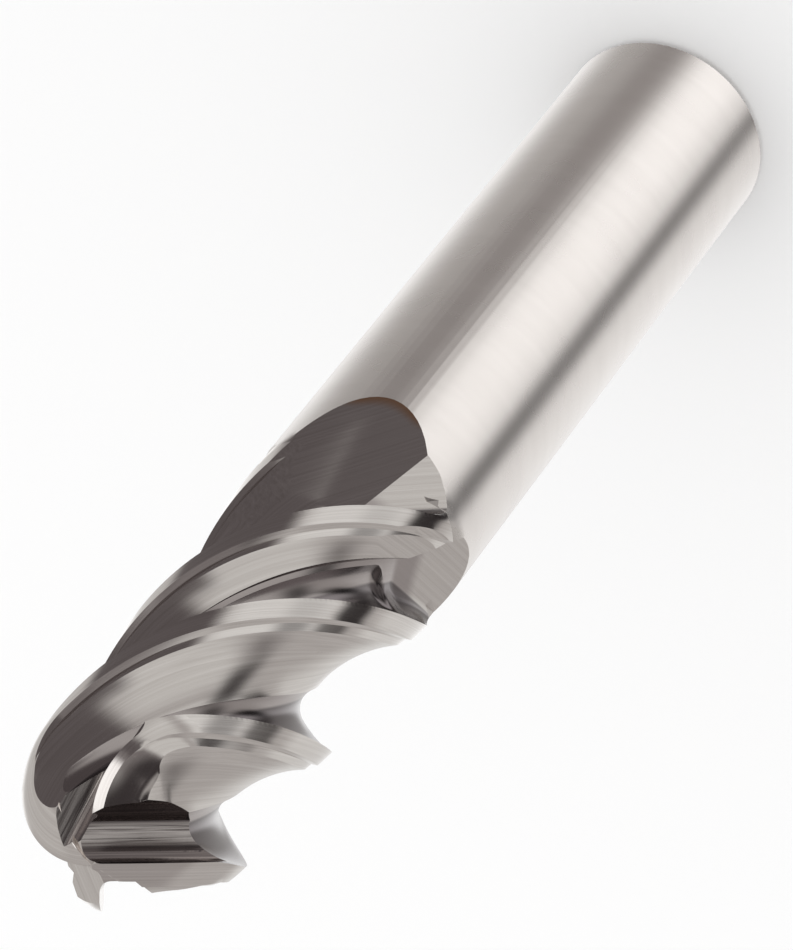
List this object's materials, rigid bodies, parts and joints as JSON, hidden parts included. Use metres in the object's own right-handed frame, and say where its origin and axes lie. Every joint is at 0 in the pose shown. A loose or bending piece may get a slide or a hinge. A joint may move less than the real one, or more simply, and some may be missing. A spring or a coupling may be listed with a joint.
{
  "type": "ball nose end mill",
  "caption": "Solid carbide ball nose end mill with helical flutes, gashed ball end and plain round shank.",
  "frame": {"origin": "centre of the flat end of the shank, on the tool's axis", "axes": "+Z along the tool's axis from the shank end towards the nose; +X near the cutting edge of the first long tooth at the ball's equator"},
  "size_m": [0.012, 0.012, 0.075],
  "materials": {
    "ground_carbide": "ground, uncoated"
  },
  "bodies": {
    "root": {"end_mill": "ground_carbide"}
  },
  "joints": []
}
